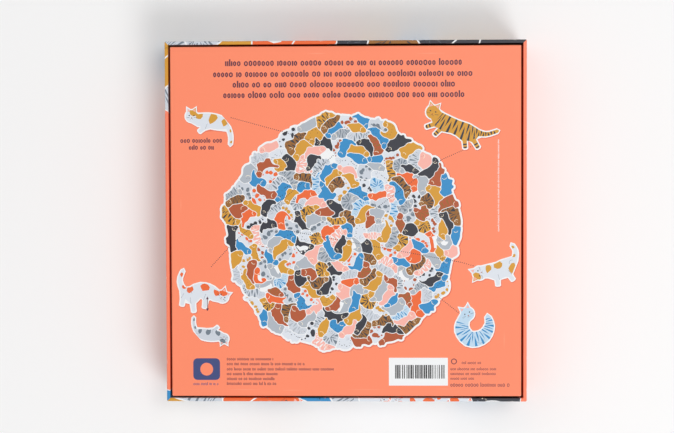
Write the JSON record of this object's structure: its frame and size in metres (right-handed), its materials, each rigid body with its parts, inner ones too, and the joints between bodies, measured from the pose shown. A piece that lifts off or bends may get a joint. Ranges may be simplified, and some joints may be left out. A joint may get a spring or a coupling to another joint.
{
  "type": "boxed jigsaw puzzle",
  "caption": "Shallow square cardboard box with a lift-off lid, lying on the lid's front with the tray's printed back up, holding a sealed clear bag of animal-shaped jigsaw pieces.",
  "frame": {"origin": "centre of the lid's front face, on the surface the box lies on", "axes": "+Z from the lid's front face up to the tray's back; +Y towards the top edge of the print on the tray's back; +X towards its right edge, seen from +Z"},
  "size_m": [0.256, 0.256, 0.048],
  "materials": {
    "lid_print": "matte laminated print",
    "tray_print": "matte laminated print",
    "grey_board": "uncoated grey board",
    "stay_tape": "gummed kraft paper",
    "clear_film": "clear film",
    "piece_board": "printed face on blue-grey chipboard"
  },
  "bodies": {
    "lid": {"lid_board": "grey_board", "lid_wrap": "lid_print", "lid_corner_stay_1": "stay_tape", "lid_corner_stay_2": "stay_tape", "lid_corner_stay_3": "stay_tape", "lid_corner_stay_4": "stay_tape"},
    "tray": {"tray_board": "grey_board", "tray_wrap": "tray_print", "tray_corner_stay_1": "stay_tape", "tray_corner_stay_2": "stay_tape", "tray_corner_stay_3": "stay_tape", "tray_corner_stay_4": "stay_tape"},
    "bag": {"pieces_bag": "clear_film", "cats_arched": "piece_board", "cats_curled": "piece_board", "cats_loaf": "piece_board", "cats_lying": "piece_board", "cats_running": "piece_board", "cats_sitting": "piece_board", "cats_sprawled": "piece_board", "cats_stretching": "piece_board", "cats_upright": "piece_board", "cats_walking": "piece_board", "puzzle_dog": "piece_board"}
  },
  "joints": [
    {"name": "tray_lift", "type": "slide", "parent": "lid", "child": "tray", "axis": [0, 0, 1], "range_m": [0, 0.12]},
    {"name": "bag_lift", "type": "slide", "parent": "lid", "child": "bag", "axis": [0, 0, 1], "range_m": [0, 0.06]}
  ],
  "couplings": [
    {"joint": "bag_lift", "follows": "tray_lift", "ratio": 0.5}
  ]
}
